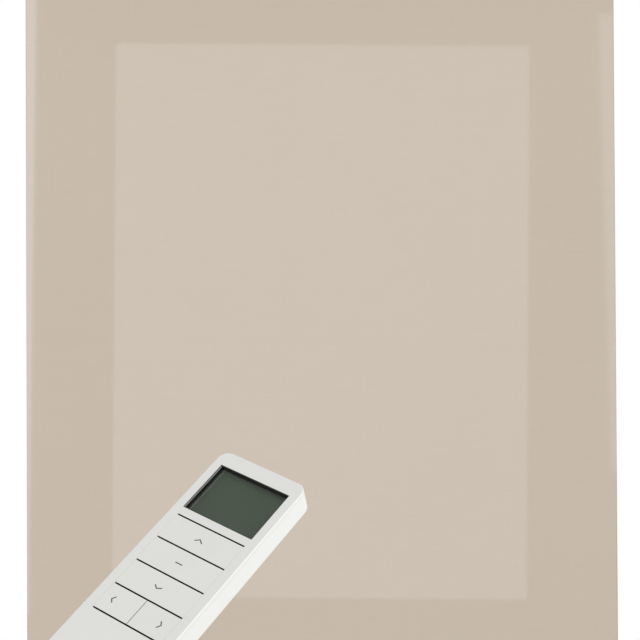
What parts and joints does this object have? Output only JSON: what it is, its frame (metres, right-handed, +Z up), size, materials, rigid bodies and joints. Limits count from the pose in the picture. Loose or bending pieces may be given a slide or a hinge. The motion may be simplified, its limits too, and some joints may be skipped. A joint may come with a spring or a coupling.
{
  "type": "motorized roller blind",
  "caption": "Motorized roller blind: translucent fabric on a battery-driven tube between two brackets, with a weighted bottom rail and a separate keypad handset.",
  "frame": {"origin": "centre of the four wall-screw holes, on the wall face, at the height of the roller axis and midway between the brackets", "axes": "+X to the right along the roller, seen from the room; +Y into the wall; +Z up"},
  "size_m": [0.668, 0.8463, 0.891],
  "materials": {
    "painted_steel": "satin white powder coat",
    "cover_plastic": "fine matt white moulding",
    "tube_aluminium": "mill finish extrusion",
    "blind_fabric": "fine translucent beige weave",
    "rail_aluminium": "satin off-white paint on aluminium",
    "clear_spline": "semi-clear extruded cord",
    "acetal": "natural acetal, slightly waxy",
    "dark_plastic": "black moulded plastic",
    "zinc_steel": "bright zinc plate",
    "spring_steel": "drawn wire",
    "magnet": "dull sintered ferrite",
    "circuit_board": "green solder mask",
    "cell_wrap": "shrink wrap over a steel can",
    "brass": "turned brass",
    "handset_plastic": "fine satin white moulding",
    "key_plastic": "fine satin white moulding",
    "screen_clear": "clear polished acrylic",
    "screen_panel": "dark grey-green liquid crystal",
    "mat_rubber": "black silicone rubber",
    "light_pipe": "frosted light pipe"
  },
  "bodies": {
    "headrail": {"left_bracket": "painted_steel", "right_bracket": "painted_steel", "left_cover": "cover_plastic", "right_cover": "cover_plastic", "fabric_sheet": "blind_fabric", "motor_head": "cover_plastic", "status_light": "light_pipe", "charge_socket": "zinc_steel", "head_board": "circuit_board", "lock_clip": "spring_steel", "motor_casing": "zinc_steel", "motor_cells": "cell_wrap", "battery_tray": "dark_plastic", "control_board": "circuit_board", "ring_gear": "dark_plastic", "motor_can": "zinc_steel", "motor_magnets": "magnet", "motor_end_cap": "dark_plastic"},
    "roller": {"roller_tube": "tube_aluminium", "fabric_roll": "blind_fabric", "idle_plug": "cover_plastic", "idle_bush": "acetal", "idle_spring": "spring_steel", "crown_ring": "acetal", "output_carrier": "zinc_steel", "drive_wheel": "acetal", "drive_screw": "zinc_steel"},
    "hem": {"bottom_rail": "rail_aluminium", "rail_spline": "clear_spline", "left_end_cap": "cover_plastic", "right_end_cap": "cover_plastic"},
    "idle_pin": {"idle_pin": "zinc_steel"},
    "program_button": {"program_button": "cover_plastic"},
    "middle_carrier": {"middle_carrier": "zinc_steel"},
    "rotor": {"motor_rotor": "zinc_steel"},
    "handset": {"front_shell": "handset_plastic", "back_shell": "handset_plastic", "handset_screws": "zinc_steel", "screen_gasket": "dark_plastic", "screen_window": "screen_clear", "screen_module": "screen_panel", "keypad_mat": "mat_rubber", "handset_board": "circuit_board", "handset_cells": "cell_wrap", "battery_contacts": "brass"},
    "battery_door": {"battery_door": "handset_plastic"},
    "output_planet_1": {"output_planet_1": "acetal"},
    "input_planet_1": {"input_planet_1": "acetal"},
    "output_planet_2": {"output_planet_2": "acetal"},
    "input_planet_2": {"input_planet_2": "acetal"},
    "output_planet_3": {"output_planet_3": "acetal"},
    "input_planet_3": {"input_planet_3": "acetal"},
    "up_key": {"up_key": "key_plastic"},
    "stop_key": {"stop_key": "key_plastic"},
    "down_key": {"down_key": "key_plastic"},
    "previous_key": {"previous_key": "key_plastic"},
    "next_key": {"next_key": "key_plastic"}
  },
  "joints": [
    {"name": "hem_lift", "type": "slide", "parent": "headrail", "child": "hem", "axis": [0, 0, 1], "range_m": [0, 0.79], "deforming": ["fabric_sheet"]},
    {"name": "roller_spin", "type": "hinge", "parent": "headrail", "child": "roller", "pos_m": [0, -0.038, 0], "axis": [1, 0, 0], "range_deg": [0, 2029.3]},
    {"name": "middle_carrier_spin", "type": "hinge", "parent": "headrail", "child": "middle_carrier", "pos_m": [0, -0.038, 0], "axis": [1, 0, 0], "range_deg": [0, 10146.4]},
    {"name": "rotor_spin", "type": "hinge", "parent": "headrail", "child": "rotor", "pos_m": [0, -0.038, 0], "axis": [1, 0, 0], "range_deg": [0, 50731.8]},
    {"name": "idle_pin_slide", "type": "slide", "parent": "headrail", "child": "idle_pin", "axis": [1, 0, 0], "range_m": [0, 0.008], "stiffness_N_per_m": 400, "deforming": ["idle_spring"]},
    {"name": "program_button_press", "type": "slide", "parent": "headrail", "child": "program_button", "axis": [0, 1, 0], "range_m": [0, 0.001], "stiffness_N_per_m": 400},
    {"name": "handset_move", "type": "slide", "parent": "headrail", "child": "handset", "axis": [0, 1, 0], "range_m": [0, 0.65]},
    {"name": "battery_door_slide", "type": "slide", "parent": "handset", "child": "battery_door", "axis": [-0.5725, -0.5531, -0.6053], "range_m": [0, 0.052]},
    {"name": "output_planet_1_spin", "type": "hinge", "parent": "roller", "child": "output_planet_1", "pos_m": [0, -0.032, 0], "axis": [1, 0, 0], "range_deg": [-5411.4, 0]},
    {"name": "input_planet_1_spin", "type": "hinge", "parent": "middle_carrier", "child": "input_planet_1", "pos_m": [0, -0.032, 0], "axis": [1, 0, 0], "range_deg": [-27056.9, 0]},
    {"name": "output_planet_2_spin", "type": "hinge", "parent": "roller", "child": "output_planet_2", "pos_m": [0, -0.041, 0.0052], "axis": [1, 0, 0], "range_deg": [-5411.4, 0]},
    {"name": "input_planet_2_spin", "type": "hinge", "parent": "middle_carrier", "child": "input_planet_2", "pos_m": [0, -0.041, 0.0052], "axis": [1, 0, 0], "range_deg": [-27056.9, 0]},
    {"name": "output_planet_3_spin", "type": "hinge", "parent": "roller", "child": "output_planet_3", "pos_m": [0, -0.041, -0.0052], "axis": [1, 0, 0], "range_deg": [-5411.4, 0]},
    {"name": "input_planet_3_spin", "type": "hinge", "parent": "middle_carrier", "child": "input_planet_3", "pos_m": [0, -0.041, -0.0052], "axis": [1, 0, 0], "range_deg": [-27056.9, 0]},
    {"name": "up_key_press", "type": "slide", "parent": "handset", "child": "up_key", "axis": [0.1299, 0.6678, -0.733], "range_m": [0, 0.0008], "stiffness_N_per_m": 400},
    {"name": "stop_key_press", "type": "slide", "parent": "handset", "child": "stop_key", "axis": [0.1299, 0.6678, -0.733], "range_m": [0, 0.0008], "stiffness_N_per_m": 400},
    {"name": "down_key_press", "type": "slide", "parent": "handset", "child": "down_key", "axis": [0.1299, 0.6678, -0.733], "range_m": [0, 0.0008], "stiffness_N_per_m": 400},
    {"name": "previous_key_press", "type": "slide", "parent": "handset", "child": "previous_key", "axis": [0.1299, 0.6678, -0.733], "range_m": [0, 0.0008], "stiffness_N_per_m": 400},
    {"name": "next_key_press", "type": "slide", "parent": "handset", "child": "next_key", "axis": [0.1299, 0.6678, -0.733], "range_m": [0, 0.0008], "stiffness_N_per_m": 400}
  ],
  "couplings": [
    {"joint": "roller_spin", "follows": "hem_lift", "rad_per_m": 44.743},
    {"joint": "middle_carrier_spin", "follows": "hem_lift", "rad_per_m": 223.71},
    {"joint": "rotor_spin", "follows": "hem_lift", "rad_per_m": 1118.6},
    {"joint": "output_planet_1_spin", "follows": "hem_lift", "rad_per_m": -119.31},
    {"joint": "input_planet_1_spin", "follows": "hem_lift", "rad_per_m": -596.57},
    {"joint": "output_planet_2_spin", "follows": "hem_lift", "rad_per_m": -119.31},
    {"joint": "input_planet_2_spin", "follows": "hem_lift", "rad_per_m": -596.57},
    {"joint": "output_planet_3_spin", "follows": "hem_lift", "rad_per_m": -119.31},
    {"joint": "input_planet_3_spin", "follows": "hem_lift", "rad_per_m": -596.57}
  ]
}
